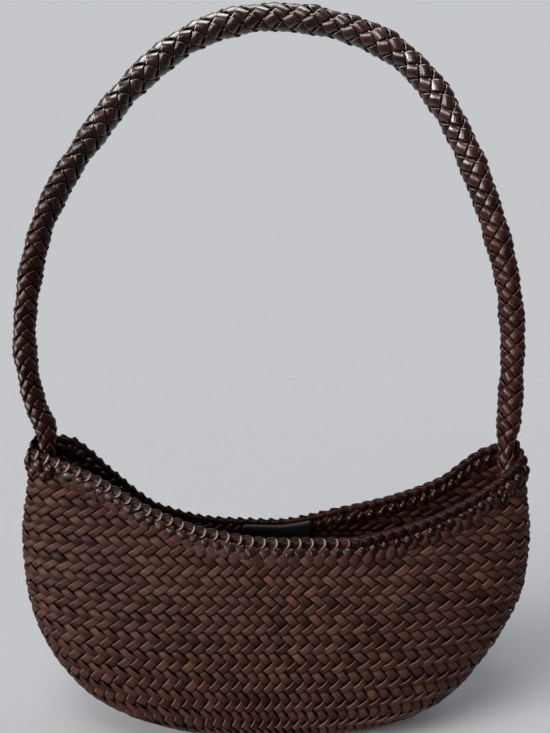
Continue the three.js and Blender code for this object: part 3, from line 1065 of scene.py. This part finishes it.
# Label
def make_label():
    low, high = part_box("inner_label")
    turns = np.linspace(*LABEL_TURNS, LABEL_SEARCH)
    places = pouch_point(turns, wall_top(turns))[:, 0]
    x = np.linspace(high[0] / MM, low[0] / MM, LABEL_COLUMNS)
    turn = np.interp(-x, -places, turns)
    from_side = np.minimum(x - low[0] / MM, high[0] / MM - x)
    corner = np.clip(LABEL_CORNER - from_side, 0, LABEL_CORNER)
    cut = LABEL_CORNER - np.sqrt(LABEL_CORNER ** 2 - corner ** 2)
    top = rim_top(turn) - LABEL_DROP - cut
    bottom = rim_top(turn) - LABEL_DROP - LABEL_HEIGHT + cut
    share = np.linspace(0, 1, LABEL_ROWS)
    z = bottom[:, None] + (top - bottom)[:, None] * share
    spread = np.broadcast_to(turn[:, None], z.shape)
    face = pouch_point(spread, z)
    inward = -level_normal(spread, z)
    rounding = np.sqrt(np.clip(1 - (2 * share - 1) ** LABEL_CROWN_POWER, 0, 1))
    crown = between((LABEL_EDGE, 1), rounding)
    side_rounding = np.sqrt(np.clip(1 - (1 - np.minimum(from_side / LABEL_CORNER, 1)) ** 2, 0, 1))
    ends = between((LABEL_SIDE, 1), side_rounding)
    depth = LABEL_THICKNESS * crown * ends[:, None]
    near = face + inward * LABEL_FACE
    far = face + inward * (LABEL_FACE + depth)[..., None]
    work = Patchwork()
    marks = np.concatenate([np.zeros(LABEL_ROWS), np.abs(2 * share[::-1] - 1) ** LABEL_MARK_POWER])
    work.add(np.concatenate([near, far[:, ::-1]], axis=1), np.full(LABEL_COLUMNS, 0.5), marks)
    work.make("label_patch", LABEL_LEATHER, ["inner_label"])


# Stage
def make_floor():
    mesh = bpy.data.meshes.new("floor")
    angles = np.linspace(0, 2 * math.pi, FLOOR_SIDES, endpoint=False)
    ring = [(FLOOR_RADIUS * math.cos(angle), FLOOR_RADIUS * math.sin(angle), 0) for angle in angles]
    mesh.from_pydata(ring, [], [list(range(FLOOR_SIDES))])
    mesh.materials.append(floor_material())
    floor = bpy.data.objects.new("floor", mesh)
    bpy.context.scene.collection.objects.link(floor)
    floor.visible_glossy = False


def make_lights():
    world = bpy.data.worlds.new("studio")
    bpy.context.scene.world = world
    world.use_nodes = True
    nodes, links = world.node_tree.nodes, world.node_tree.links
    direction = nodes.new("ShaderNodeSeparateXYZ")
    links.new(nodes.new("ShaderNodeTexCoord").outputs["Generated"], direction.inputs[0])
    strength = nodes.new("ShaderNodeMapRange")
    strength.interpolation_type = "SMOOTHSTEP"
    links.new(direction.outputs["Y"], strength.inputs["Value"])
    strength.inputs["From Min"].default_value = WORLD_BLEND[0]
    strength.inputs["From Max"].default_value = WORLD_BLEND[1]
    strength.inputs["To Min"].default_value = WORLD_AHEAD
    strength.inputs["To Max"].default_value = WORLD_BEHIND
    background = nodes["Background"]
    background.inputs["Color"].default_value = WORLD_COLOUR
    links.new(strength.outputs["Result"], background.inputs["Strength"])
    for row in LIGHTS:
        light = bpy.data.lights.new(row.name, "SUN")
        light.energy = row.strength
        light.angle = math.radians(row.spread)
        light.color = LIGHT_COLOUR
        holder = bpy.data.objects.new(row.name, light)
        holder.location = row.place
        holder.visible_diffuse = not row.glossy_only
        holder.rotation_euler = Vector(row.place).to_track_quat("Z", "Y").to_euler()
        bpy.context.scene.collection.objects.link(holder)


def make_camera():
    camera = bpy.data.cameras.new("camera")
    camera.sensor_width = SENSOR
    camera.lens = SENSOR * FOCAL_PIXELS / FRAME_HEIGHT_PIXELS
    holder = bpy.data.objects.new("camera", camera)
    holder.location = [part * MM for part in CAMERA_PLACE]
    holder.rotation_euler = (math.pi / 2, 0, 0)
    bpy.context.scene.collection.objects.link(holder)
    bpy.context.scene.camera = holder


make_camera()
make_lights()
make_floor()
make_weave()
make_shade_layer()
make_rim()
make_rim_knots()
make_corner_knots()
make_strap()
make_label()
bpy.context.scene.view_settings.view_transform = "Standard"
